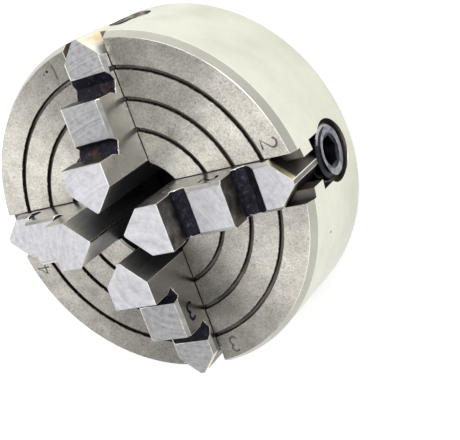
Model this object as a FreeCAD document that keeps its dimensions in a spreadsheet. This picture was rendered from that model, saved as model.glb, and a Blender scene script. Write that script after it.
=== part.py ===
"""Four-jaw independent lathe chuck, 80 mm, as a parametric document of separate pieces.

Frame: origin at the centre of the back face, +Z along the spindle axis towards the work.
The jaws are numbered clockwise as seen from the front: 1 along +Y, 2 along +X, 3 along -Y, 4 along -X.
A screw with a left-hand thread drives each jaw, so a clockwise turn of the key closes that jaw.
"""
import FreeCAD
import Part
import Sketcher

import math
import os
import sys

# Driving dimensions in millimetres. Heights are above the back face.
SIZES = {
    "body_radius": 40.0,
    "body_thickness": 28.0,
    "face_radius": 38.9,
    "face_chamfer_depth": 2.0,
    "back_chamfer": 0.8,
    "bore_radius": 11.2,
    "bore_chamfer": 0.5,
    "register_radius": 27.5,
    "register_depth": 3.0,
    "bolt_circle_radius": 33.0,
    "tap_drill_radius": 2.5,
    "tap_drill_depth": 14.0,
    "groove_radius_inner": 18.8,
    "groove_radius_middle": 25.6,
    "groove_radius_outer": 32.5,
    "groove_width": 1.0,
    "groove_floor_width": 0.6,
    "groove_depth": 0.8,
    "slot_half_width": 5.5,
    "slot_head_depth": 3.0,
    "rail_half_gap": 3.4,
    "rail_underside_depth": 7.8,
    "slot_foot_half_width": 5.6,
    "slot_floor_height": 13.6,
    "screw_height": 11.0,
    "screw_hole_radius": 6.3,
    "screw_hole_start": 12.2,
    "screw_mouth_radius": 7.0,
    "screw_mouth_start": 37.0,
    "screw_radius": 6.0,
    "screw_root_radius": 4.9,
    "screw_inner_end": 13.0,
    "screw_outer_end": 39.3,
    "screw_chamfer": 0.5,
    "thread_pitch": 2.0,
    "thread_root_width": 0.55,
    "thread_clearance": 0.2,
    "nut_tip_radius": 5.15,
    "nut_bore_radius": 6.2,
    "neck_radius": 4.0,
    "neck_half_length": 3.0,
    "neck_centre": 20.5,
    "key_across_flats": 6.0,
    "key_socket_depth": 7.0,
    "key_lead_in_radius": 3.9,
    "key_lead_in_depth": 0.6,
    "block_radius": 5.6,
    "block_half_thickness": 2.85,
    "block_fork_half_width": 4.15,
    "block_back_height": 3.1,
    "block_base_height": 4.6,
    "block_top_height": 13.8,
    "block_hole_radius": 5.65,
    "pin_radius": 1.0,
    "pin_offset": 6.1,
    "pin_back_height": 3.2,
    "pin_top_height": 7.0,
    "jaw_length": 34.26,
    "jaw_half_width": 5.33,
    "jaw_neck_half_width": 3.25,
    "jaw_inner_wedge": 5.06,
    "jaw_outer_wedge": 4.78,
    "jaw_edge_chamfer": 0.7,
    "jaw_foot_bottom": 14.2,
    "jaw_foot_top": 20.05,
    "jaw_head_bottom": 25.1,
    "jaw_top_inner": 43.96,
    "jaw_top_middle": 37.01,
    "jaw_top_outer": 30.23,
    "riser_inner": 10.43,
    "riser_outer": 21.89,
    "relief_rise": 1.7,
    "relief_undercut": 0.73,
    "relief_reach": 1.9,
    "relief_depth": 1.5,
    "relief_run_inner": 3.03,
    "relief_run_outer": 4.36,
    "tip_gap_jaw_one": 5.86,
    "tip_gap_jaw_two": 4.19,
    "tip_gap_jaw_three": 5.8,
    "tip_gap_jaw_four": 5.03,
}
JAW_ANGLES = {1: 90.0, 2: 0.0, 3: 270.0, 4: 180.0}
JAW_WORDS = {1: "one", 2: "two", 3: "three", 4: "four"}
STATIONS = len(JAW_ANGLES)
FULL_TURN = 360.0

# How far one flank of the thread leans along the axis for each unit of depth.
THREAD_FLANK_SLOPE = 0.4545

# How far a cutter runs past the surface that it cuts, and how far a joined cutter overlaps its neighbour.
CUTTER_MARGIN = 2.0
CUTTER_OVERLAP = 0.2

LEAST_VOLUME_CHANGE = 0.01
NEARLY_ZERO = 1e-9
PARTS_FOLDER = "parts"


class Size:
    """A length with the sheet expression that gives it, so that sums of sizes stay parametric."""

    def __init__(self, value, text):
        self.value = value
        self.text = text

    def __add__(self, other):
        other = as_size(other)
        return Size(self.value + other.value, f"({self.text} + {other.text})")

    def __sub__(self, other):
        other = as_size(other)
        return Size(self.value - other.value, f"({self.text} - {other.text})")

    def __mul__(self, factor):
        return Size(self.value * factor, f"({self.text} * {factor:.9f})")

    def __neg__(self):
        return self * -1


def as_size(number):
    if isinstance(number, Size):
        return number
    return Size(float(number), f"({float(number):.9f} mm)")


def make_sheet(doc):
    """The spreadsheet of driving dimensions: one named cell for each."""
    sheet = doc.addObject("Spreadsheet::Sheet", "Sizes")
    for row, (alias, number) in enumerate(SIZES.items(), start=1):
        sheet.set(f"A{row}", alias.replace("_", " "))
        sheet.set(f"B{row}", str(number))
        sheet.setAlias(f"B{row}", alias)
    doc.recompute()
    return sheet


class Dimensions:
    """Gives each driving dimension of the sheet by its name."""

    def __init__(self, sheet):
        self.sheet = sheet

    def __getattr__(self, alias):
        return Size(float(self.sheet.get(alias)), f"Sizes.{alias} * 1 mm")


class Piece:
    """One PartDesign body with short calls for its sketches and features."""

    def __init__(self, doc, name):
        self.doc = doc
        self.body = doc.addObject("PartDesign::Body", name)
        self.body.Label = name
        self.count = 0

    def plane(self, role):
        return next(f for f in self.body.Origin.OriginFeatures if f.Role == role)

    def sketch(self, role, offset=None):
        """A sketch on an origin plane, moved along the plane's normal by offset."""
        self.count += 1
        sketch = self.body.newObject("Sketcher::SketchObject", f"{self.body.Name}_sketch{self.count}")
        sketch.AttachmentSupport = (self.plane(role), [""])
        sketch.MapMode = "FlatFace"
        if offset is not None:
            sketch.setExpression("AttachmentOffset.Base.z", offset.text)
        return sketch

    def feature(self, kind, sketch, **properties):
        """A sketch-based feature of the given kind, checked to change the volume of the body."""
        self.count += 1
        before = volume_of(self.body)
        feature = self.body.newObject(f"PartDesign::{kind}", f"{self.body.Name}_{kind.lower()}{self.count}")
        feature.Profile = sketch
        for key, value in properties.items():
            if isinstance(value, Size):
                feature.setExpression(key, value.text)
            else:
                setattr(feature, key, value)
        self.doc.recompute()
        self.check_change(feature, before)
        return feature

    def repeat_at_stations(self, originals):
        """Repeats features evenly about Z, once for each jaw."""
        self.count += 1
        before = volume_of(self.body)
        pattern = self.body.newObject("PartDesign::PolarPattern", f"{self.body.Name}_pattern{self.count}")
        pattern.Originals = originals
        pattern.Axis = (self.plane("Z_Axis"), [""])
        pattern.Angle = FULL_TURN
        pattern.Occurrences = STATIONS
        self.body.Tip = pattern
        self.doc.recompute()
        self.check_change(pattern, before)

    def check_change(self, feature, before):
        if abs(volume_of(self.body) - before) < LEAST_VOLUME_CHANGE:
            sys.exit(f"{feature.Name} changed nothing")


def volume_of(body):
    if body.Tip is None or body.Shape.isNull():
        return 0.0
    return body.Shape.Volume


def pin_point(sketch, point, across, up):
    """Places a sketch point, given as (geometry, vertex), at two sizes from the sketch's origin."""
    for kind, axis, size in (("DistanceX", -2, across), ("DistanceY", -1, up)):
        size = as_size(size)
        if abs(size.value) < NEARLY_ZERO:
            sketch.addConstraint(Sketcher.Constraint("PointOnObject", *point, axis))
        else:
            index = sketch.addConstraint(Sketcher.Constraint(kind, -1, 1, *point, size.value))
            sketch.setExpression(f"Constraints[{index}]", size.text)


def add_polygon(sketch, corners):
    """A closed outline through corners, each one a pair of sizes."""
    vectors = [FreeCAD.Vector(as_size(a).value, as_size(b).value, 0) for a, b in corners]
    first = sketch.GeometryCount
    total = len(corners)
    for number in range(total):
        sketch.addGeometry(Part.LineSegment(vectors[number], vectors[(number + 1) % total]))
    for number in range(total):
        after = first + (number + 1) % total
        sketch.addConstraint(Sketcher.Constraint("Coincident", first + number, 2, after, 1))
    for number, (across, up) in enumerate(corners):
        pin_point(sketch, (first + number, 1), across, up)


def add_rectangle(sketch, low, high):
    add_polygon(sketch, [low, (high[0], low[1]), high, (low[0], high[1])])


def add_circle(sketch, centre, radius):
    """A circle whose centre and radius are sizes."""
    middle = FreeCAD.Vector(as_size(centre[0]).value, as_size(centre[1]).value, 0)
    index = sketch.addGeometry(Part.Circle(middle, FreeCAD.Vector(0, 0, 1), radius.value))
    pin_point(sketch, (index, 3), *centre)
    constraint = sketch.addConstraint(Sketcher.Constraint("Radius", index, radius.value))
    sketch.setExpression(f"Constraints[{constraint}]", radius.text)


def make_body(doc, d):
    """The chuck body: a turned disc with face grooves, jaw slots, screw holes and a back register."""
    piece = Piece(doc, "chuck_body")
    front = d.body_thickness

    section = piece.sketch("XZ_Plane")
    add_polygon(section, [
        (d.bore_radius, d.register_depth + d.bore_chamfer),
        (d.bore_radius + d.bore_chamfer, d.register_depth),
        (d.register_radius, d.register_depth),
        (d.register_radius, 0),
        (d.body_radius - d.back_chamfer, 0),
        (d.body_radius, d.back_chamfer),
        (d.body_radius, front - d.face_chamfer_depth),
        (d.face_radius, front),
        (d.bore_radius + d.bore_chamfer, front),
        (d.bore_radius, front - d.bore_chamfer),
    ])
    piece.feature("Revolution", section, ReferenceAxis=(section, ["V_Axis"]), Angle=FULL_TURN)

    rings = piece.sketch("XZ_Plane")
    above = front + CUTTER_MARGIN
    mouth_half = d.groove_width * 0.5
    floor_half = d.groove_floor_width * 0.5
    for radius in (d.groove_radius_inner, d.groove_radius_middle, d.groove_radius_outer):
        add_polygon(rings, [
            (radius - floor_half, front - d.groove_depth),
            (radius + floor_half, front - d.groove_depth),
            (radius + mouth_half, front),
            (radius + mouth_half, above),
            (radius - mouth_half, above),
            (radius - mouth_half, front),
        ])
    piece.feature("Groove", rings, ReferenceAxis=(rings, ["V_Axis"]), Angle=FULL_TURN)

    slot = piece.sketch("YZ_Plane")
    head = front - d.slot_head_depth
    under = front - d.rail_underside_depth
    half_outline = [
        (d.slot_foot_half_width, d.slot_floor_height),
        (d.slot_foot_half_width, under),
        (d.rail_half_gap, under),
        (d.rail_half_gap, head),
        (d.slot_half_width, head),
        (d.slot_half_width, above),
    ]
    add_polygon(slot, half_outline + [(-across, up) for across, up in reversed(half_outline)])
    reach = d.body_radius + CUTTER_MARGIN
    slot_cut = piece.feature("Pocket", slot, Reversed=True, Length=reach)

    hole = piece.sketch("YZ_Plane", d.screw_hole_start)
    add_circle(hole, (0, d.screw_height), d.screw_hole_radius)
    hole_cut = piece.feature("Pocket", hole, Reversed=True, Length=reach - d.screw_hole_start)

    mouth = piece.sketch("YZ_Plane", d.screw_mouth_start)
    add_circle(mouth, (0, d.screw_height), d.screw_mouth_radius)
    mouth_cut = piece.feature("Pocket", mouth, Reversed=True, Length=reach - d.screw_mouth_start)

    seat = piece.sketch("XY_Plane")
    add_circle(seat, (d.neck_centre, 0), d.block_hole_radius)
    seat_cut = piece.feature("Pocket", seat, Reversed=True, Length=d.slot_floor_height + CUTTER_OVERLAP)

    pin_hole = piece.sketch("XY_Plane")
    add_circle(pin_hole, (d.neck_centre, d.pin_offset), d.pin_radius)
    pin_cut = piece.feature("Pocket", pin_hole, Reversed=True, Length=d.pin_top_height)
    piece.repeat_at_stations([slot_cut, hole_cut, mouth_cut, seat_cut, pin_cut])

    bolt = piece.sketch("XY_Plane")
    along = d.bolt_circle_radius * math.sqrt(0.5)
    add_circle(bolt, (along, along), d.tap_drill_radius)
    bolt_cut = piece.feature("Pocket", bolt, Reversed=True, Length=d.tap_drill_depth)
    piece.repeat_at_stations([bolt_cut])
    return piece.body


def make_screw(doc, d, number):
    """An adjusting screw along its own X axis, with a plain neck and a hex socket in its outer end."""
    piece = Piece(doc, f"adjusting_screw_{number}")
    chamfer = d.screw_chamfer
    neck_low = d.neck_centre - d.neck_half_length
    neck_high = d.neck_centre + d.neck_half_length
    section = piece.sketch("XZ_Plane")
    add_polygon(section, [
        (d.screw_inner_end, 0),
        (d.screw_outer_end, 0),
        (d.screw_outer_end, d.screw_radius - chamfer),
        (d.screw_outer_end - chamfer, d.screw_radius),
        (neck_high, d.screw_radius),
        (neck_high, d.neck_radius),
        (neck_low, d.neck_radius),
        (neck_low, d.screw_radius),
        (d.screw_inner_end + chamfer, d.screw_radius),
        (d.screw_inner_end, d.screw_radius - chamfer),
    ])
    piece.feature("Revolution", section, ReferenceAxis=(section, ["H_Axis"]), Angle=FULL_TURN)

    hexagon = piece.sketch("YZ_Plane", d.screw_outer_end)
    corner = d.key_across_flats * (0.5 / math.cos(math.radians(30)))
    add_polygon(hexagon, [
        (corner * math.cos(math.radians(angle)), corner * math.sin(math.radians(angle)))
        for angle in (0, 60, 120, 180, 240, 300)
    ])
    piece.feature("Pocket", hexagon, Length=d.key_socket_depth)

    lead_in = piece.sketch("XZ_Plane")
    add_polygon(lead_in, [
        (d.screw_outer_end - d.key_lead_in_depth, 0),
        (d.screw_outer_end + CUTTER_MARGIN, 0),
        (d.screw_outer_end + CUTTER_MARGIN, d.key_lead_in_radius),
        (d.screw_outer_end, d.key_lead_in_radius),
        (d.screw_outer_end - d.key_lead_in_depth, d.key_across_flats * 0.5 - CUTTER_OVERLAP),
    ])
    piece.feature("Groove", lead_in, ReferenceAxis=(lead_in, ["H_Axis"]), Angle=FULL_TURN)

    thread = piece.sketch("XZ_Plane")
    start = d.screw_inner_end - CUTTER_MARGIN
    outside = d.screw_radius + CUTTER_OVERLAP
    root = d.thread_root_width * 0.5
    rise = outside - d.screw_root_radius
    mouth = root + rise * THREAD_FLANK_SLOPE
    add_polygon(thread, [
        (start - root, d.screw_root_radius),
        (start + root, d.screw_root_radius),
        (start + mouth, outside),
        (start - mouth, outside),
    ])
    travel = d.screw_outer_end - start + CUTTER_MARGIN
    piece.feature("SubtractiveHelix", thread, ReferenceAxis=(thread, ["H_Axis"]), Mode=0,
                  Pitch=d.thread_pitch, Height=travel, LeftHanded=True, Reversed=False)
    return piece.body


def make_jaw(doc, d, number):
    """A stepped jaw from its tip along its own X axis; Z is measured from the screw's axis."""
    piece = Piece(doc, f"jaw_{number}")

    def height(size):
        return size - d.screw_height

    def relief(riser, low_top, run):
        """The corner under a riser: an undercut, its floor and the start of the lower step."""
        return [
            (riser + run, height(low_top)),
            (riser + d.relief_reach, height(low_top) - d.relief_depth),
            (riser - d.relief_undercut, height(low_top)),
            (riser, height(low_top) + d.relief_rise),
        ]

    profile = piece.sketch("XZ_Plane")
    add_polygon(profile, [
        (0, height(d.jaw_foot_bottom)),
        (d.jaw_length, height(d.jaw_foot_bottom)),
        (d.jaw_length, height(d.jaw_top_outer)),
        *relief(d.riser_outer, d.jaw_top_outer, d.relief_run_outer),
        (d.riser_outer, height(d.jaw_top_middle)),
        *relief(d.riser_inner, d.jaw_top_middle, d.relief_run_inner),
        (d.riser_inner, height(d.jaw_top_inner)),
        (0, height(d.jaw_top_inner)),
    ])
    piece.feature("Pad", profile, Midplane=True, Length=d.jaw_half_width * 2)

    corners = piece.sketch("XY_Plane")
    edge = d.jaw_half_width + CUTTER_MARGIN
    inner_end = d.jaw_inner_wedge + CUTTER_MARGIN
    outer_end = d.jaw_length - d.jaw_outer_wedge - CUTTER_MARGIN
    for side in (1, -1):
        inner_flat = (d.jaw_half_width - d.jaw_inner_wedge) * side
        outer_flat = (d.jaw_half_width - d.jaw_outer_wedge) * side
        add_polygon(corners, [(0, inner_flat), (inner_end, edge * side), (0, edge * side)])
        add_polygon(corners, [
            (d.jaw_length, outer_flat),
            (outer_end, edge * side),
            (d.jaw_length, edge * side),
        ])
    piece.feature("Pocket", corners, Midplane=True, Length=d.jaw_top_inner * 2)

    steps = (
        (d.riser_inner, d.riser_outer, d.jaw_top_middle),
        (d.riser_outer, d.jaw_length, d.jaw_top_outer),
    )
    for near, far, top in steps:
        chamfers = piece.sketch("YZ_Plane", near)
        for side in (1, -1):
            add_polygon(chamfers, [
                ((d.jaw_half_width - d.jaw_edge_chamfer) * side, height(top)),
                (d.jaw_half_width * side, height(top) - d.jaw_edge_chamfer),
                (edge * side, height(top)),
            ])
        piece.feature("Pocket", chamfers, Reversed=True, Length=far - near)

    channels = piece.sketch("YZ_Plane")
    for side in (1, -1):
        low = (d.jaw_neck_half_width * side, height(d.jaw_foot_top))
        high = (edge * side, height(d.jaw_head_bottom))
        add_rectangle(channels, low, high)
    piece.feature("Pocket", channels, Reversed=True, Length=d.jaw_length + CUTTER_MARGIN)

    nut = piece.sketch("YZ_Plane")
    add_circle(nut, (0, 0), d.nut_tip_radius)
    piece.feature("Pocket", nut, Reversed=True, Length=d.jaw_length + CUTTER_MARGIN)

    thread = piece.sketch("XZ_Plane")
    inside = d.nut_tip_radius - CUTTER_OVERLAP
    root = d.thread_pitch * 0.5 - d.thread_root_width * 0.5 + d.thread_clearance
    inside_half = root - (inside - d.screw_root_radius) * THREAD_FLANK_SLOPE
    outside_half = root - (d.nut_bore_radius - d.screw_root_radius) * THREAD_FLANK_SLOPE
    start = as_size(-CUTTER_MARGIN)
    add_polygon(thread, [
        (start - inside_half, inside),
        (start + inside_half, inside),
        (start + outside_half, d.nut_bore_radius),
        (start - outside_half, d.nut_bore_radius),
    ])
    piece.feature("SubtractiveHelix", thread, ReferenceAxis=(thread, ["H_Axis"]), Mode=0,
                  Pitch=d.thread_pitch, Height=d.jaw_length + 2 * CUTTER_MARGIN,
                  LeftHanded=True, Reversed=False)
    return piece.body


def make_block(doc, d, number):
    """A thrust block: a round plug whose forked end straddles the neck of a screw."""
    piece = Piece(doc, f"thrust_block_{number}")
    outline = piece.sketch("XY_Plane", d.block_back_height)
    add_circle(outline, (d.neck_centre, 0), d.block_radius)
    piece.feature("Pad", outline, Length=d.block_top_height - d.block_back_height)

    above = d.block_top_height + CUTTER_MARGIN
    flats = piece.sketch("XZ_Plane")
    for side in (1, -1):
        low = (d.neck_centre + d.block_half_thickness * side, d.block_base_height)
        high = (d.neck_centre + (d.block_radius + CUTTER_MARGIN) * side, above)
        add_rectangle(flats, low, high)
    piece.feature("Pocket", flats, Midplane=True, Length=(d.block_radius + CUTTER_MARGIN) * 2)

    fork = piece.sketch("YZ_Plane")
    add_circle(fork, (0, d.screw_height), d.block_fork_half_width)
    piece.feature("Pocket", fork, Reversed=True, Length=d.body_radius)
    opening = piece.sketch("YZ_Plane")
    add_rectangle(opening, (-d.block_fork_half_width, d.screw_height), (d.block_fork_half_width, above))
    piece.feature("Pocket", opening, Reversed=True, Length=d.body_radius)

    pin_groove = piece.sketch("XY_Plane")
    add_circle(pin_groove, (d.neck_centre, d.pin_offset), d.pin_radius)
    piece.feature("Pocket", pin_groove, Reversed=True, Length=d.pin_top_height)
    return piece.body


def make_pin(doc, d, number):
    """A pin that locks a thrust block: half of it lies in the block and half in the body."""
    piece = Piece(doc, f"thrust_pin_{number}")
    outline = piece.sketch("XY_Plane", d.pin_back_height)
    add_circle(outline, (d.neck_centre, d.pin_offset), d.pin_radius)
    piece.feature("Pad", outline, Length=d.pin_top_height - d.pin_back_height)
    return piece.body


def turn_about_z(angle):
    return FreeCAD.Placement(FreeCAD.Vector(), FreeCAD.Rotation(FreeCAD.Vector(0, 0, 1), angle))


def place_station(d, number, jaw, screw, block, pin):
    """Puts one jaw with its screw, block and pin in their slot, the thread in mesh with the jaw."""
    station = turn_about_z(JAW_ANGLES[number])
    lift = d.screw_height.value
    gap = getattr(d, f"tip_gap_jaw_{JAW_WORDS[number]}").value
    pitch = d.thread_pitch.value
    jaw.Placement = station * FreeCAD.Placement(FreeCAD.Vector(gap, 0, lift), FreeCAD.Rotation())

    jaw_ridge = gap - CUTTER_MARGIN
    screw_ridge = d.screw_inner_end.value - CUTTER_MARGIN + pitch / 2
    mesh_angle = FULL_TURN * ((jaw_ridge - screw_ridge) % pitch) / pitch
    spin = FreeCAD.Rotation(FreeCAD.Vector(1, 0, 0), mesh_angle)
    screw.Placement = station * FreeCAD.Placement(FreeCAD.Vector(0, 0, lift), spin)
    block.Placement = station
    pin.Placement = station


def check_document(doc, pieces):
    """Stops on any failed object or bad solid, before anything is written."""
    for item in doc.Objects:
        if {"Invalid", "Error"} & set(item.State):
            sys.exit(f"{item.Name} failed: {item.State}")
    for piece in pieces:
        if piece.Shape.isNull() or not piece.Shape.isValid() or len(piece.Shape.Solids) != 1:
            sys.exit(f"{piece.Label} is not one valid solid")


def main():
    doc = FreeCAD.newDocument("lathe_chuck")
    d = Dimensions(make_sheet(doc))
    pieces = [make_body(doc, d)]
    for number in JAW_ANGLES:
        makers = (make_jaw, make_screw, make_block, make_pin)
        station = [maker(doc, d, number) for maker in makers]
        place_station(d, number, *station)
        pieces += station
    doc.recompute()
    check_document(doc, pieces)
    os.makedirs(PARTS_FOLDER, exist_ok=True)
    for piece in pieces:
        piece.Shape.exportStep(os.path.join(PARTS_FOLDER, f"{piece.Label}.step"))
        print(f"{piece.Label}: {piece.Shape.Volume:.0f} mm3")


main()
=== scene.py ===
"""Looks of a four-jaw lathe chuck: ground steel, black oxide and stamped numbers."""

import math

import bmesh
import bpy
from mathutils import Matrix, Vector


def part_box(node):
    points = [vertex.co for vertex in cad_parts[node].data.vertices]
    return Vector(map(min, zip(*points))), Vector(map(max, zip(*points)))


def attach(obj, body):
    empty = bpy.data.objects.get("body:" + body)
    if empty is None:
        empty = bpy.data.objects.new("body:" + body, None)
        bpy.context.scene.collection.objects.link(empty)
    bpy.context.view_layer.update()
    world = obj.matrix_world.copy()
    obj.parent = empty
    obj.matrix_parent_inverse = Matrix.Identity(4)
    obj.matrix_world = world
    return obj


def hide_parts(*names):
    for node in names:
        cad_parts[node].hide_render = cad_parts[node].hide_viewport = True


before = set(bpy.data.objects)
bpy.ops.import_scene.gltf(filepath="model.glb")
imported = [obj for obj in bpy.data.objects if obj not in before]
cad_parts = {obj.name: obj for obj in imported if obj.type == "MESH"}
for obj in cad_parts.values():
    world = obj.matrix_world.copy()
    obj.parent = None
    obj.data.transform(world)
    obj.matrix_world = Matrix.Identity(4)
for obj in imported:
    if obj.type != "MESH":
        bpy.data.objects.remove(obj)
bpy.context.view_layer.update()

MM = 0.001
BODY_LOW, BODY_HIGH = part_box("chuck_body")
FACE = BODY_HIGH.z                                  # height of the front face
RADIUS = BODY_HIGH.x                                # outer radius
SCREW_LOW, SCREW_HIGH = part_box("adjusting_screw_2")
SCREW_HEIGHT = (SCREW_LOW.z + SCREW_HIGH.z) / 2
SCREW_END = SCREW_HIGH.x
SCREW_RIM = 5.4 * MM                                # inside the chamfer round a screw's end
SOCKET_MOUTH = 3.8 * MM                             # inside edge of a screw's flat end
JAW_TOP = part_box("jaw_2")[1].z                      # height of the inner steps
JAW_ANGLES = {1: 90, 2: 0, 3: 270, 4: 180}          # jaws run clockwise seen from the front
GROOVES = (18.8 * MM, 25.6 * MM, 32.5 * MM)
GROOVE_DEPTH = 0.8 * MM
MOUTH_RADIUS = 7.0 * MM
MOUTH_DEPTH = 4.0 * MM
MEAN_RADIUS = 0.03                                  # turns an angle into about its arc's length

# Tolerances for telling which surface a face is on
SKIN = 0.1 * MM
CHAMFER_WIDTH = 1.3 * MM
CHAMFER_DEPTH = 2.1 * MM
GROOVE_REACH = 0.7 * MM                             # a groove's walls are this near its ring
LIP_REACH = 0.9 * MM                                # and its bevelled lips this near
MOUTH_REACH = 0.15 * MM
BACK_DEPTH = 3.1 * MM                               # back face and register lie below this
BORE_REACH = 11 * MM                                # and outside this radius
STEPS_ABOVE = FACE + 2 * MM                         # every step's top is higher
THREADS_BELOW = FACE - 3 * MM                       # a jaw's half nut is lower

# Mesh clean-up
MERGE_CAD = 1e-7                                    # corners of a CAD copy this close are one
MERGE_FINISHED = 2e-7                               # and of a finished piece
FLAT_DEGREES = 0.5                                  # faces this near to one plane are joined
BEVEL_DEGREES = 28.0                                # sharper corners are bevelled
SHARP_DEGREES = 12.0                                # sharper corners aren't shaded smooth
BODY_BEVEL = 0.08 * MM
JAW_BEVEL = 0.10 * MM
ARC_STEPS = 14

# Stamped digits and punch marks
FACE_DIGIT = {"tall": 3.7 * MM, "width": 0.6 * MM, "sink": 0.14 * MM}
FACE_DIGIT_RADIUS = 34.8 * MM
FACE_DIGIT_OFFSET_MM = 9.2                          # sideways from the jaw's centre line
FACE_DIGIT_SCATTER_MM = 0.6                         # struck by hand, so not quite in line
SCATTER_STEP = 2.3
JAW_DIGIT = {"tall": 4.0 * MM, "width": 0.8 * MM, "sink": 0.35 * MM}
JAW_DIGIT_FROM_TIP = 17.4 * MM
JAW_DIGIT_HEIGHT = 5.2 * MM
DOTS = {                                            # centre and radius
    "face_dot": ((-11.6 * MM, 35.3 * MM, FACE + 0.10 * MM), 0.34 * MM),
    "faint_dot": ((-12.7 * MM, 34.8 * MM, FACE + 0.22 * MM), 0.30 * MM),
    "rim_dot": ((37.0 * MM, -15.8 * MM, 18.5 * MM), 0.40 * MM),
}

# Depths of the marks that grinding and turning leave
SCRATCH = 0.00005
POLISH = 0.00004

# Stage
FLOOR_HALF = 3.0
FLOOR_GAP = 0.05 * MM
FLOOR_GLOW = 0.58
WORLD_GLOW = 0.31
LIGHT_SIZE = 0.25
LIGHT_DISTANCE = 0.6


# ---------------------------------------------------------------- materials

class Graph:
    """A new material's node tree, with short calls for the nodes that the steels share."""

    def __init__(self, name):
        self.material = bpy.data.materials.new(name)
        self.material.use_nodes = True
        self.tree = self.material.node_tree
        self.shader = self.tree.nodes["Principled BSDF"]
        self.coords = self.tree.nodes.new("ShaderNodeTexCoord").outputs["Object"]

    def node(self, kind, **settings):
        node = self.tree.nodes.new(kind)
        for key, value in settings.items():
            setattr(node, key, value)
        return node

    def feed(self, socket, value):
        if isinstance(value, bpy.types.NodeSocket):
            self.tree.links.new(value, socket)
        else:
            socket.default_value = value

    def math(self, operation, first, second=0.0):
        node = self.node("ShaderNodeMath", operation=operation)
        self.feed(node.inputs[0], first)
        self.feed(node.inputs[1], second)
        return node.outputs[0]

    def parts(self, vector):
        """The three values of a vector."""
        node = self.node("ShaderNodeSeparateXYZ")
        self.feed(node.inputs[0], vector)
        return node.outputs

    def joined(self, *values):
        """A vector of up to three values."""
        node = self.node("ShaderNodeCombineXYZ")
        for socket, value in zip(node.inputs, values):
            self.feed(socket, value)
        return node.outputs[0]

    def stretched(self, scale, source=None):
        node = self.node("ShaderNodeMapping")
        self.feed(node.inputs["Vector"], source or self.coords)
        node.inputs["Scale"].default_value = scale
        return node.outputs[0]

    def polar(self):
        """Radius, angle and height as a vector, so that noise can run round the axis."""
        x, y, z = self.parts(self.coords)
        squares = [self.math("MULTIPLY", value, value) for value in (x, y)]
        radius = self.math("SQRT", self.math("ADD", *squares))
        angle = self.math("MULTIPLY", self.math("ARCTAN2", y, x), MEAN_RADIUS)
        return self.joined(radius, angle, z)

    def swept(self, centre, across, along):
        """Coordinates for marks in arcs about a centre: fine across the arcs, long along them."""
        moved = self.node("ShaderNodeVectorMath", operation="SUBTRACT")
        self.feed(moved.inputs[0], self.coords)
        moved.inputs[1].default_value = centre
        length = self.node("ShaderNodeVectorMath", operation="LENGTH")
        self.feed(length.inputs[0], moved.outputs[0])
        return self.joined(
            self.math("MULTIPLY", length.outputs["Value"], across),
            self.math("MULTIPLY", self.parts(moved.outputs[0])[1], along),
        )

    def noise(self, scale, detail, rough, vector=None):
        node = self.node("ShaderNodeTexNoise")
        self.feed(node.inputs["Vector"], vector or self.coords)
        node.inputs["Scale"].default_value = scale
        node.inputs["Detail"].default_value = detail
        node.inputs["Roughness"].default_value = rough
        return node.outputs["Fac"]

    def ramp(self, value, stops):
        """Maps a value to colours or greys: stops are (position, colour) pairs."""
        node = self.node("ShaderNodeValToRGB")
        self.feed(node.inputs[0], value)
        elements = node.color_ramp.elements
        while len(elements) < len(stops):
            elements.new(0.5)
        for element, (position, colour) in zip(elements, stops):
            element.position = position
            if isinstance(colour, (int, float)):
                colour = (colour, colour, colour)
            element.color = (*colour, 1)
        return node.outputs["Color"]

    def mix(self, amount, first, second):
        node = self.node("ShaderNodeMix", data_type="RGBA")
        self.feed(node.inputs["Factor"], amount)
        for socket, value in ((node.inputs[6], first), (node.inputs[7], second)):
            self.feed(socket, (*value, 1) if isinstance(value, tuple) else value)
        return node.outputs[2]

    def bump(self, height, strength, distance, normal=None):
        node = self.node("ShaderNodeBump")
        self.feed(node.inputs["Height"], height)
        node.inputs["Strength"].default_value = strength
        node.inputs["Distance"].default_value = distance
        if normal is not None:
            self.feed(node.inputs["Normal"], normal)
        return node.outputs[0]

    def brush(self, anisotropy, rotation=0.0):
        """Spreads highlights across marks that run round the axis, as turning leaves them."""
        tangent = self.node("ShaderNodeTangent", direction_type="RADIAL", axis="Z")
        self.feed(self.shader.inputs["Tangent"], tangent.outputs[0])
        self.shader.inputs["Anisotropic"].default_value = anisotropy
        self.shader.inputs["Anisotropic Rotation"].default_value = rotation

    def finish(self, colour, roughness, normal, metallic=1.0):
        self.feed(self.shader.inputs["Base Color"], colour)
        self.feed(self.shader.inputs["Roughness"], roughness)
        self.feed(self.shader.inputs["Normal"], normal)
        self.shader.inputs["Metallic"].default_value = metallic
        return self.material


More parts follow.
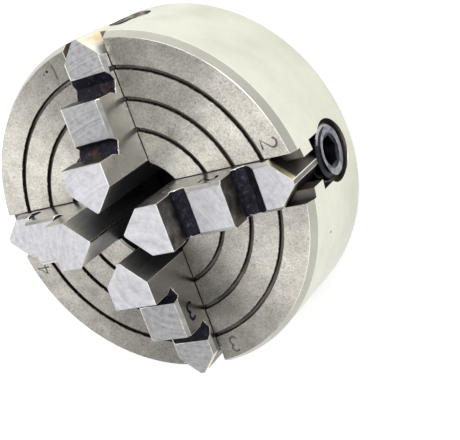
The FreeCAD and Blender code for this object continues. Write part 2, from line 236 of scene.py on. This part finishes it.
def ground_face_steel():
    """The front face: fine turning round the axis under a soft mottle, with a few darker spots."""
    g = Graph("ground_face_steel")
    rings = g.noise(1.0, 3.0, 0.6, g.stretched((9000, 60, 1), g.polar()))
    mottle = g.noise(260.0, 6.0, 0.7)
    grain = g.noise(2600.0, 3.0, 0.6)
    patches = g.noise(42.0, 3.0, 0.5)
    tone = g.math("ADD", g.math("MULTIPLY", mottle, 0.48), g.math("MULTIPLY", grain, 0.52))
    colour = g.ramp(tone, [
        (0.35, (0.42, 0.395, 0.355)),
        (0.5, (0.67, 0.64, 0.58)),
        (0.65, (0.90, 0.87, 0.81)),
    ])
    colour = g.mix(g.ramp(patches, [(0.35, 0.0), (0.75, 0.25)]), colour, (0.48, 0.45, 0.40))
    specks = g.noise(1500.0, 2.0, 0.5)
    colour = g.mix(g.ramp(specks, [(0.28, 0.6), (0.40, 0.0)]), colour, (0.26, 0.22, 0.17))
    rough = g.ramp(g.mix(0.5, mottle, grain), [(0.3, 0.33), (0.7, 0.48)])
    normal = g.bump(grain, 0.35, SCRATCH)
    normal = g.bump(rings, 0.22, SCRATCH, normal)
    g.brush(0.90, 0.25)
    return g.finish(colour, rough, normal)


def rim_steel(name="rim_steel", base=(0.71, 0.715, 0.61), low=0.28, high=0.42):
    """The turned rim: pale, with faint marks round the axis and a few scratches."""
    g = Graph(name)
    turned = g.noise(1.0, 3.0, 0.6, g.stretched((1, 60, 7000), g.polar()))
    cloud = g.noise(70.0, 4.0, 0.55)
    grain = g.noise(1800.0, 3.0, 0.6)
    dark = tuple(c * 0.86 for c in base)
    colour = g.mix(g.ramp(cloud, [(0.35, 0.0), (0.7, 1.0)]), base, dark)
    colour = g.mix(g.ramp(grain, [(0.25, 0.25), (0.45, 0.0)]), colour, tuple(c * 0.6 for c in base))
    rough = g.ramp(cloud, [(0.3, low), (0.7, high)])
    normal = g.bump(turned, 0.12, SCRATCH)
    return g.finish(colour, rough, normal)


def jaw_top_steel(name, tone, contrast):
    """Step tops: surface-ground in fine arcs, the brightest steel on the chuck."""
    g = Graph(name)
    arcs = g.noise(1.0, 4.0, 0.65, g.swept((0.007, -0.009, 0), 3000, 130))
    mottle = g.noise(900.0, 4.0, 0.6)
    stops = [(0.36, 1.0 - contrast), (0.5, 1.0), (0.64, 1.0 + 0.8 * contrast)]
    stops = [(place, tuple(min(c * share, 1.0) for c in tone)) for place, share in stops]
    colour = g.ramp(g.mix(0.5, arcs, mottle), stops)
    rough = g.ramp(mottle, [(0.3, 0.55), (0.7, 0.65)])
    normal = g.bump(arcs, 0.4, SCRATCH)
    return g.finish(colour, rough, normal)


def jaw_side_steel(name, tone):
    """Jaw sides: ground lengthwise until they half mirror."""
    g = Graph(name)
    lines = g.noise(1.0, 3.0, 0.6, g.stretched((350, 350, 6500)))
    cloud = g.noise(90.0, 4.0, 0.6)
    grain = g.noise(2200.0, 3.0, 0.6)
    stops = [(0.3, tuple(c * 0.85 for c in tone)), (0.7, tone)]
    colour = g.ramp(g.mix(0.5, cloud, grain), stops)
    rough = g.ramp(cloud, [(0.3, 0.2), (0.7, 0.32)])
    normal = g.bump(lines, 0.1, POLISH)
    return g.finish(colour, rough, normal)


def jaw_tip_steel():
    """Inner wedge tips: ground down the jaw, bright on top, with painted shade that darkens them
    downward.
    """
    g = Graph("jaw_tip_steel")
    streaks = g.noise(1.0, 4.0, 0.6, g.stretched((2600, 2600, 160)))
    height = g.parts(g.coords)[2]
    depth = g.math("MULTIPLY", g.math("SUBTRACT", JAW_TOP, height), 100.0)   # centimetres
    # Painted shade: darker with depth below the jaw's top, broken up by the streaks.
    tone_blend = g.math("ADD", depth, g.math("MULTIPLY", streaks, 0.35))
    colour = g.ramp(tone_blend, [
        (0.14, (0.84, 0.84, 0.80)),
        (0.40, (0.42, 0.42, 0.41)),
        (0.80, (0.22, 0.225, 0.25)),
    ])
    rough = g.ramp(streaks, [(0.3, 0.34), (0.7, 0.48)])
    return g.finish(colour, rough, g.bump(streaks, 0.2, SCRATCH))


def wedge_facet_steel(name, oil):
    """Outer wedge facets: bands of straw heat tint on top, with painted shade down in the slot, its
    strength set by oil.
    """
    g = Graph(name)
    bands = g.noise(1.0, 3.0, 0.5, g.stretched((260, 260, 90)))
    grain = g.noise(2200.0, 3.0, 0.6)
    colour = g.ramp(bands, [
        (0.40, (0.88, 0.90, 0.82)),
        (0.52, (0.90, 0.80, 0.55)),
        (0.66, (0.80, 0.62, 0.34)),
    ])
    height = g.parts(g.coords)[2]
    # Scaled so that 0.22 is 0.7 mm up
    above_face = g.math("MULTIPLY", g.math("SUBTRACT", height, FACE), 300.0)
    # Painted shade: at full strength oil at and below the face, fading out by 0.7 mm above it.
    colour = g.mix(g.ramp(above_face, [(0.0, oil), (0.22, 0.0)]), colour, (0.09, 0.08, 0.07))
    return g.finish(colour, g.ramp(grain, [(0.3, 0.30), (0.7, 0.42)]), g.bump(grain, 0.2, POLISH))


def riser_steel():
    """Risers between the steps: ground, darker, with a brown film of oil."""
    g = Graph("riser_steel")
    lines = g.noise(1.0, 3.0, 0.6, g.stretched((500, 500, 5200)))
    cloud = g.noise(300.0, 5.0, 0.6)
    colour = g.ramp(cloud, [
        (0.34, (0.05, 0.046, 0.043)),
        (0.5, (0.13, 0.124, 0.12)),
        (0.66, (0.30, 0.285, 0.27)),
    ])
    stains = g.noise(170.0, 4.0, 0.6)
    colour = g.mix(g.ramp(stains, [(0.5, 0.0), (0.66, 0.4)]), colour, (0.24, 0.18, 0.11))
    rough = g.ramp(cloud, [(0.3, 0.3), (0.7, 0.45)])
    normal = g.bump(lines, 0.3, SCRATCH)
    return g.finish(colour, rough, normal)


def scale_steel(name="scale_steel", rust=0.35):
    """Relief corners left with black scale: rough, with a little rust and a few bright nicks."""
    g = Graph(name)
    lumps = g.noise(900.0, 6.0, 0.7)
    fine = g.noise(3200.0, 4.0, 0.6)
    stains = g.noise(230.0, 4.0, 0.6)
    colour = g.ramp(lumps, [
        (0.35, (0.008, 0.008, 0.014)),
        (0.55, (0.024, 0.023, 0.038)),
        (0.75, (0.13, 0.13, 0.17)),
    ])
    colour = g.mix(g.ramp(stains, [(0.61, 0.0), (0.74, rust)]), colour, (0.26, 0.11, 0.045))
    rough = g.ramp(fine, [(0.3, 0.42), (0.7, 0.75)])
    normal = g.bump(lumps, 0.7, 0.00018)
    normal = g.bump(fine, 0.35, 0.00006, normal)
    return g.finish(colour, rough, normal, 0.7)


def groove_steel():
    """Face grooves: dark brown oil and dirt with a paler line of bare steel showing through."""
    g = Graph("groove_steel")
    streak = g.noise(1.0, 4.0, 0.6, g.stretched((2200, 900, 1), g.polar()))
    stains = g.noise(150.0, 4.0, 0.6)
    colour = g.ramp(streak, [
        (0.42, (0.010, 0.008, 0.007)),
        (0.60, (0.026, 0.020, 0.017)),
        (0.75, (0.11, 0.09, 0.08)),
    ])
    colour = g.mix(g.ramp(stains, [(0.5, 0.0), (0.7, 0.6)]), colour, (0.075, 0.038, 0.024))
    normal = g.bump(streak, 0.6, 0.00012)
    g.shader.inputs["Specular IOR Level"].default_value = 0.2
    return g.finish(colour, g.ramp(streak, [(0.3, 0.7), (0.8, 0.45)]), normal, 0.5)


def groove_lip_steel():
    """Lips of the face grooves: dirt, broken by nicks of bare steel."""
    g = Graph("groove_lip_steel")
    nicks = g.noise(1700.0, 4.0, 0.7)
    colour = g.ramp(nicks, [
        (0.46, (0.035, 0.028, 0.024)),
        (0.56, (0.30, 0.28, 0.25)),
        (0.66, (0.80, 0.78, 0.72)),
    ])
    return g.finish(colour, g.ramp(nicks, [(0.4, 0.6), (0.6, 0.35)]), g.bump(nicks, 0.6, 0.0001))


def slot_steel():
    """Milled slot walls and rails: dark, oily, stained brown in places."""
    g = Graph("slot_steel")
    lines = g.noise(1.0, 3.0, 0.6, g.stretched((400, 400, 4200)))
    stains = g.noise(160.0, 5.0, 0.6)
    tone_blend = g.mix(0.5, lines, stains)
    colour = g.ramp(tone_blend, [(0.3, (0.09, 0.086, 0.082)), (0.7, (0.26, 0.25, 0.235))])
    colour = g.mix(g.ramp(stains, [(0.55, 0.0), (0.75, 0.65)]), colour, (0.25, 0.13, 0.06))
    normal = g.bump(lines, 0.25, SCRATCH)
    return g.finish(colour, g.ramp(stains, [(0.3, 0.3), (0.7, 0.5)]), normal)


def black_oxide_steel():
    """Screws: black oxide, slightly blue, worn grey where it rubs."""
    g = Graph("black_oxide_steel")
    wear = g.noise(420.0, 5.0, 0.65)
    fine = g.noise(2600.0, 3.0, 0.6)
    colour = g.ramp(wear, [
        (0.4, (0.016, 0.016, 0.022)),
        (0.65, (0.05, 0.05, 0.06)),
        (0.85, (0.2, 0.2, 0.22)),
    ])
    normal = g.bump(fine, 0.25, SCRATCH)
    return g.finish(colour, g.ramp(wear, [(0.3, 0.28), (0.7, 0.5)]), normal, 0.9)


def screw_end_steel():
    """The turned end of a screw, its black finish rubbed off by the key."""
    g = Graph("screw_end_steel")
    cloud = g.noise(500.0, 5.0, 0.6)
    colour = g.ramp(cloud, [(0.35, (0.08, 0.085, 0.11)), (0.65, (0.33, 0.34, 0.38))])
    fine = g.noise(2400.0, 3.0, 0.6)
    return g.finish(colour, g.ramp(cloud, [(0.3, 0.18), (0.7, 0.32)]), g.bump(fine, 0.3, SCRATCH))


def bright_edge_steel():
    """Bare edges where handling and grinding left clean metal."""
    g = Graph("bright_edge_steel")
    cloud = g.noise(500.0, 4.0, 0.6)
    colour = g.ramp(cloud, [(0.3, (0.78, 0.77, 0.72)), (0.7, (0.93, 0.92, 0.88))])
    return g.finish(colour, g.ramp(cloud, [(0.3, 0.25), (0.7, 0.4)]), g.bump(cloud, 0.15, POLISH))


def plain_steel(name, base):
    """Machined steel of the small inner pieces."""
    g = Graph(name)
    cloud = g.noise(380.0, 5.0, 0.6)
    fine = g.noise(2400.0, 3.0, 0.6)
    colour = g.mix(g.ramp(cloud, [(0.3, 0.0), (0.7, 1.0)]), base, tuple(c * 0.7 for c in base))
    return g.finish(colour, g.ramp(cloud, [(0.3, 0.28), (0.7, 0.45)]), g.bump(fine, 0.25, SCRATCH))


# ---------------------------------------------------------------- geometry

def new_object(name, data):
    """A new object in the scene."""
    item = bpy.data.objects.new(name, data)
    bpy.context.scene.collection.objects.link(item)
    return item


def smooth_by_angle(mesh):
    """Smooth shading on round stretches, sharp at each corner and each change of finish."""
    bm = bmesh.new()
    bm.from_mesh(mesh)
    bmesh.ops.remove_doubles(bm, verts=bm.verts, dist=MERGE_FINISHED)
    limit = math.radians(SHARP_DEGREES)
    for face in bm.faces:
        face.smooth = True
    for edge in bm.edges:
        finishes = {face.material_index for face in edge.link_faces}
        edge.smooth = len(finishes) == 1 and edge.calc_face_angle(math.pi) < limit
    bm.to_mesh(mesh)
    bm.free()


def copy_of(node, name):
    """A clean mesh of a frame node: its flat faces joined, ready to be cut and bevelled."""
    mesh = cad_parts[node].data.copy()
    mesh.name = name
    mesh.materials.clear()
    bm = bmesh.new()
    bm.from_mesh(mesh)
    bmesh.ops.remove_doubles(bm, verts=bm.verts, dist=MERGE_CAD)
    flat = math.radians(FLAT_DEGREES)
    bmesh.ops.dissolve_limit(bm, angle_limit=flat, verts=bm.verts, edges=bm.edges)
    bm.to_mesh(mesh)
    bm.free()
    return new_object(name, mesh)


def paint(piece, materials, zone_of):
    """Gives each face the material of its zone; zone_of takes a face's centre and normal."""
    mesh = piece.data
    names = list(materials)
    for name in names:
        mesh.materials.append(materials[name])
    for face in mesh.polygons:
        face.material_index = names.index(zone_of(face.center, face.normal))


def apply_modifiers(piece):
    """Turns the piece's modifiers into mesh."""
    graph = bpy.context.evaluated_depsgraph_get()
    mesh = bpy.data.meshes.new_from_object(piece.evaluated_get(graph))
    mesh.name = piece.name
    piece.modifiers.clear()
    piece.data = mesh


def bevel(piece, width, materials, plain_zones, lowest=-1.0):
    """Rounds the piece's corners into bright edges.

    A corner stays sharp inside the plain zones and below the lowest height, where the threads are.
    """
    names = list(materials)
    plain = {names.index(name) for name in plain_zones}
    limit = math.radians(BEVEL_DEGREES)
    bm = bmesh.new()
    bm.from_mesh(piece.data)
    weights = bm.edges.layers.float.new("bevel_weight_edge")
    for edge in bm.edges:
        finishes = {face.material_index for face in edge.link_faces}
        top = max(vertex.co.z for vertex in edge.verts)
        if edge.calc_face_angle(0.0) > limit and top > lowest and not finishes <= plain:
            edge[weights] = 1.0
    bm.to_mesh(piece.data)
    bm.free()
    modifier = piece.modifiers.new("edges", "BEVEL")
    modifier.width = width
    modifier.segments = 2
    modifier.limit_method = "WEIGHT"
    modifier.material = names.index("edge")
    modifier.use_clamp_overlap = False
    apply_modifiers(piece)


def arc(centre, radius, start, stop):
    """Points of an arc, given in degrees."""
    points = []
    for step in range(ARC_STEPS + 1):
        turn = math.radians(start + (stop - start) * step / ARC_STEPS)
        points.append((centre[0] + radius * math.cos(turn), centre[1] + radius * math.sin(turn)))
    return points


# Strokes of the stamped numbers, for a digit two units tall whose centre is the origin.
STROKES = {
    1: [[(-0.12, 0.95), (0.02, 0.35), (0.10, -0.95)]],
    2: [arc((0, 0.42), 0.55, 165, -35) + [(-0.50, -0.95), (0.60, -0.95)]],
    3: [arc((-0.05, 0.47), 0.48, 150, -80), arc((-0.05, -0.45), 0.52, 80, -150)],
    4: [[(0.60, -0.35), (-0.62, -0.35), (0.25, 0.95), (0.25, -0.95)]],
}


def stroke_cutter(name, strokes, place, tall, width, sink):
    """Rounded rods along a digit's strokes.

    place maps the digit's plane into the frame, with +Z out of the metal.
    """
    curve = bpy.data.curves.new(name, "CURVE")
    curve.dimensions = "3D"
    curve.bevel_depth = width / 2
    curve.bevel_resolution = 3
    curve.use_fill_caps = True
    for points in strokes:
        spline = curve.splines.new("POLY")
        spline.points.add(len(points) - 1)
        for point, (across, up) in zip(spline.points, points):
            point.co = (across * tall / 2, up * tall / 2, width / 2 - sink, 1)
    cutter = new_object(name, curve)
    cutter.matrix_world = place
    return solid_mesh(cutter)


def solid_mesh(item):
    """Replaces a curve object by a mesh object of its surface."""
    bpy.context.view_layer.update()
    graph = bpy.context.evaluated_depsgraph_get()
    mesh = bpy.data.meshes.new_from_object(item.evaluated_get(graph))
    mesh.transform(item.matrix_world)
    solid = new_object(item.name + "_solid", mesh)
    bpy.data.objects.remove(item)
    return solid


def dot_cutter(name, centre, radius):
    """A round punch mark."""
    bm = bmesh.new()
    place = Matrix.Translation(centre)
    bmesh.ops.create_icosphere(bm, subdivisions=3, radius=radius, matrix=place)
    mesh = bpy.data.meshes.new(name)
    bm.to_mesh(mesh)
    bm.free()
    return new_object(name, mesh)


def cut(piece, cutters, mark):
    """Cuts stamped marks out of a piece and gives the cut faces the material mark."""
    for cutter in cutters:
        cutter.data.materials.clear()
        cutter.data.materials.append(mark)
        modifier = piece.modifiers.new("stamp", "BOOLEAN")
        modifier.operation = "DIFFERENCE"
        modifier.solver = "EXACT"
        modifier.use_self = True
        modifier.material_mode = "TRANSFER"
        modifier.object = cutter
    apply_modifiers(piece)
    for cutter in cutters:
        bpy.data.objects.remove(cutter)


def outward_frame(angle, radial, lateral, height):
    """A digit's plane on the front face: its top points outward along the jaw at angle."""
    up = Vector((math.cos(angle), math.sin(angle), 0))
    right = Vector((up.y, -up.x, 0))
    axes = Matrix((right, up, Vector((0, 0, 1)))).transposed()
    place = up * radial + right * lateral + Vector((0, 0, height))
    return Matrix.Translation(place) @ axes.to_4x4()


def side_frame(angle, radial, lateral, height):
    """A digit's plane on a jaw's left side, seen looking outward: its top points outward."""
    outward = Vector((math.cos(angle), math.sin(angle), 0))
    left = Vector((-outward.y, outward.x, 0))
    axes = Matrix((outward.cross(left), outward, left)).transposed()
    place = outward * radial + left * lateral + Vector((0, 0, height))
    return Matrix.Translation(place) @ axes.to_4x4()


MATERIALS = {
    "face": ground_face_steel(),
    "rim": rim_steel(),
    "chamfer": rim_steel("chamfer_steel", (0.55, 0.545, 0.48), 0.28, 0.40),
    "groove": groove_steel(),
    "lip": groove_lip_steel(),
    "mark": scale_steel("punched_mark", 0.5),
    "stamp": plain_steel("stamped_digit", (0.27, 0.25, 0.22)),
    # The screw holes' mouths are darker than the rim: painted shade.
    "mouth": plain_steel("hole_mouth_painted_shade_steel", (0.46, 0.40, 0.32)),
    "slot": slot_steel(),
    "back": rim_steel("back_steel", (0.60, 0.59, 0.56), 0.3, 0.45),
    "edge": bright_edge_steel(),
    "top": jaw_top_steel("jaw_top_steel", (0.77, 0.77, 0.80), 0.18),
    "low_top": jaw_top_steel("jaw_low_top_steel", (0.52, 0.52, 0.53), 0.32),
    "side": jaw_side_steel("jaw_side_steel", (0.90, 0.89, 0.86)),
    # A darker copy of the side steel, for jaw 3: painted shade.
    "shaded_side": jaw_side_steel("jaw_side_painted_shade_steel", (0.46, 0.45, 0.43)),
    "tip": jaw_tip_steel(),
    # The wedge facets carry painted shade down in the slot: in full on most jaws, a tenth of it on
    # jaw 1.
    "facet": wedge_facet_steel("wedge_facet_steel", 1.0),
    "lightly_shaded_facet": wedge_facet_steel("wedge_facet_light_shade_steel", 0.1),
    "riser": riser_steel(),
    "scale": scale_steel(),
    "black": black_oxide_steel(),
    "end": screw_end_steel(),
    "crest": plain_steel("screw_rim_steel", (0.46, 0.47, 0.50)),
    "block": plain_steel("block_steel", (0.34, 0.33, 0.31)),
    "pin": plain_steel("pin_steel", (0.50, 0.49, 0.47)),
}


def pick(*names):
    return {name: MATERIALS[name] for name in names}


def in_mouth(centre):
    """True on the wall of the wider mouth at the end of a screw hole."""
    across = min(abs(centre.x), abs(centre.y))
    return abs(math.hypot(across, centre.z - SCREW_HEIGHT) - MOUTH_RADIUS) < MOUTH_REACH


def body_zone(centre, normal):
    radius = math.hypot(centre.x, centre.y)
    outward = (centre.x * normal.x + centre.y * normal.y) / max(radius, 1e-9)
    if normal.z > 0.95 and centre.z > FACE - SKIN:
        return "face"
    if radius > RADIUS - SKIN and outward > 0.95:
        return "rim"
    near_rim = radius > RADIUS - CHAMFER_WIDTH
    if near_rim and centre.z > FACE - CHAMFER_DEPTH and normal.z > 0.2:
        return "chamfer"
    by_ring = any(abs(radius - ring) < GROOVE_REACH for ring in GROOVES)
    if by_ring and centre.z > FACE - GROOVE_DEPTH - SKIN and abs(outward) + normal.z > 0.95:
        return "groove"
    if radius > RADIUS - MOUTH_DEPTH and in_mouth(centre):
        return "mouth"
    if centre.z < BACK_DEPTH and radius > BORE_REACH:
        return "back"
    return "slot"


def near_groove(centre):
    radius = math.hypot(centre.x, centre.y)
    by_ring = any(abs(radius - ring) < LIP_REACH for ring in GROOVES)
    return by_ring and centre.z > FACE - 2 * SKIN


def make_body():
    materials = pick(
        "face", "rim", "chamfer", "groove", "lip", "slot", "back", "mouth", "edge", "mark", "stamp"
    )
    piece = copy_of("chuck_body", "chuck_body_ground")
    paint(piece, materials, body_zone)
    bevel(piece, BODY_BEVEL, materials, ("groove", "slot", "back", "mouth"))
    names = list(materials)
    for face in piece.data.polygons:
        if names[face.material_index] == "edge" and near_groove(face.center):
            face.material_index = names.index("lip")
    dots = [dot_cutter(name, centre, radius) for name, (centre, radius) in DOTS.items()]
    digits = []
    for number, angle in JAW_ANGLES.items():
        scatter = FACE_DIGIT_SCATTER_MM * math.sin(number * SCATTER_STEP)
        lateral = -(FACE_DIGIT_OFFSET_MM + scatter) * MM
        place = outward_frame(math.radians(angle), FACE_DIGIT_RADIUS, lateral, FACE)
        digits.append(stroke_cutter(f"face_{number}", STROKES[number], place, **FACE_DIGIT))
    cut(piece, dots, MATERIALS["mark"])
    cut(piece, digits, MATERIALS["stamp"])
    smooth_by_angle(piece.data)
    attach(piece, "body")
    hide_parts("chuck_body")


def make_jaw(number):
    low_top = "low_top" if number in (1, 3) else "top"
    # Jaw 3's sides take the darker copy of the side steel: painted shade.
    side = "shaded_side" if number == 3 else "side"
    # Jaw 1's facets take only a little painted shade, the other jaws the full painted shade.
    facet = "lightly_shaded_facet" if number == 1 else "facet"
    finishes = ("top", low_top, side, facet, "tip", "riser", "scale", "edge", "slot", "mark")
    materials = pick(*dict.fromkeys(finishes))
    angle = math.radians(JAW_ANGLES[number])
    turn = Matrix.Rotation(-angle, 3, "Z")

    def zone(centre, normal):
        normal = turn @ normal
        if normal.z > 0.95 and centre.z > STEPS_ABOVE:
            return "top" if centre.z > JAW_TOP - 1 * MM else low_top
        if abs(normal.y) > 0.6 and normal.z > 0.6:
            return "edge"
        if centre.z > FACE and abs(normal.y) < 0.1 and normal.x > 0.95:
            return "riser"
        if centre.z > FACE + 0.3 * MM and abs(normal.y) < 0.1 and abs(normal.z) > 0.2:
            return "scale"
        if normal.x < -0.3 and abs(normal.y) > 0.3:
            return "tip"
        if normal.x > 0.5 and abs(normal.y) > 0.5:
            return facet
        if centre.z < THREADS_BELOW:
            return "slot"
        return side

    piece = copy_of(f"jaw_{number}", f"jaw_{number}_ground")
    paint(piece, materials, zone)
    bevel(piece, JAW_BEVEL, materials, ("scale", "riser", "slot"), THREADS_BELOW)
    corners = [turn @ vertex.co for vertex in piece.data.vertices]
    tip = min(corner.x for corner in corners)
    half_width = max(corner.y for corner in corners)
    place = side_frame(angle, tip + JAW_DIGIT_FROM_TIP, half_width, FACE + JAW_DIGIT_HEIGHT)
    stamp = stroke_cutter(f"jaw_mark_{number}", STROKES[number], place, **JAW_DIGIT)
    cut(piece, [stamp], MATERIALS["mark"])
    smooth_by_angle(piece.data)
    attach(piece, f"jaw_{number}")
    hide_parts(f"jaw_{number}")


def make_screw(number):
    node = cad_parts[f"adjusting_screw_{number}"]
    materials = pick("black", "end", "crest")
    turn = Matrix.Rotation(-math.radians(JAW_ANGLES[number]), 3, "Z")
    node.data.materials.clear()

    def zone(centre, normal):
        centre = turn @ centre
        normal = turn @ normal
        reach = math.hypot(centre.y, centre.z - SCREW_HEIGHT)
        at_end = centre.x > SCREW_END - 0.55 * MM
        if at_end and reach > SCREW_RIM and 0.3 < normal.x < 0.95:
            return "crest"
        if at_end and reach > SOCKET_MOUTH and normal.x > 0.95:
            return "end"
        return "black"

    paint(node, materials, zone)


# ---------------------------------------------------------------- stage

def make_floor():
    mesh = bpy.data.meshes.new("floor")
    half = FLOOR_HALF
    corners = [(-half, -half, 0), (half, -half, 0), (half, half, 0), (-half, half, 0)]
    mesh.from_pydata(corners, [], [(0, 1, 2, 3)])
    floor = new_object("floor", mesh)
    floor.location.z = BODY_LOW.z - FLOOR_GAP
    g = Graph("pale_floor")
    cloud = g.noise(20.0, 2.0, 0.5)
    # Painted shadow: the floor under the chuck is dark and doesn't glow; it fades in from 30 to 38
    # mm out.
    radius = g.parts(g.polar())[0]
    open_floor = g.ramp(g.math("MULTIPLY", radius, 10.0), [(0.30, 0.0), (0.38, 1.0)])
    pale = g.ramp(cloud, [(0.3, 0.62), (0.7, 0.64)])
    colour = g.mix(open_floor, (0.09, 0.09, 0.09), pale)
    glow = g.ramp(cloud, [(0.3, (1.0, 1.0, 0.985)), (0.7, (1.0, 1.0, 1.0))])
    g.feed(g.shader.inputs["Emission Color"], g.mix(open_floor, (0.0, 0.0, 0.0), glow))
    g.shader.inputs["Emission Strength"].default_value = FLOOR_GLOW
    g.shader.inputs["Specular IOR Level"].default_value = 0.0
    floor.data.materials.append(g.finish(colour, 0.9, g.bump(cloud, 0.02, 0.0001), 0.0))


def make_light(name, azimuth, elevation, power):
    """A soft square light, placed round the chuck's front face and aimed at its centre."""
    turn, rise = math.radians(azimuth), math.radians(elevation)
    across = math.cos(rise)
    towards = Vector((math.cos(turn) * across, math.sin(turn) * across, math.sin(rise)))
    data = bpy.data.lights.new(name, "AREA")
    data.shape = "SQUARE"
    data.size = LIGHT_SIZE
    data.energy = power
    light = new_object(name, data)
    light.location = Vector((0, 0, FACE)) + towards * LIGHT_DISTANCE
    light.rotation_euler = (-towards).to_track_quat("-Z", "Y").to_euler()


def make_world():
    world = bpy.data.worlds.new("studio")
    world.use_nodes = True
    bpy.context.scene.world = world
    tree = world.node_tree
    background = tree.nodes["Background"]
    background.inputs["Color"].default_value = (1.0, 1.0, 1.0, 1)
    background.inputs["Strength"].default_value = WORLD_GLOW


CAMERA_PLACE = Vector((136.2, 51.6, 211.1)) * MM
CAMERA_FORWARD = Vector((-0.5187, -0.2560, -0.8157))
CAMERA_UP = Vector((0.1606, 0.9080, -0.3871))
CAMERA_LENS = 82.5


def make_camera():
    data = bpy.data.cameras.new("camera")
    data.lens = CAMERA_LENS
    data.sensor_width = 36.0
    data.sensor_fit = "HORIZONTAL"
    data.clip_start = 0.01
    camera = new_object("camera", data)
    back = -CAMERA_FORWARD.normalized()
    right = CAMERA_UP.cross(back).normalized()
    up = back.cross(right)
    axes = Matrix((right, up, back)).transposed()
    camera.matrix_world = Matrix.Translation(CAMERA_PLACE) @ axes.to_4x4()
    bpy.context.scene.camera = camera


make_body()
for number in JAW_ANGLES:
    make_jaw(number)
    make_screw(number)
    for kind in ("block", "pin"):
        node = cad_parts[f"thrust_{kind}_{number}"]
        node.data.materials.clear()
        node.data.materials.append(MATERIALS[kind])
make_floor()
make_world()
make_camera()
make_light("overhead", 0, 90, 0.74)
make_light("right_window", 45, 32, 1.32)
make_light("far_window", 90, 32, 0.96)
make_light("left_window", 180, 32, 0.52)
make_light("near_fill", 270, 58, 0.57)
bpy.context.scene.view_settings.view_transform = "Standard"
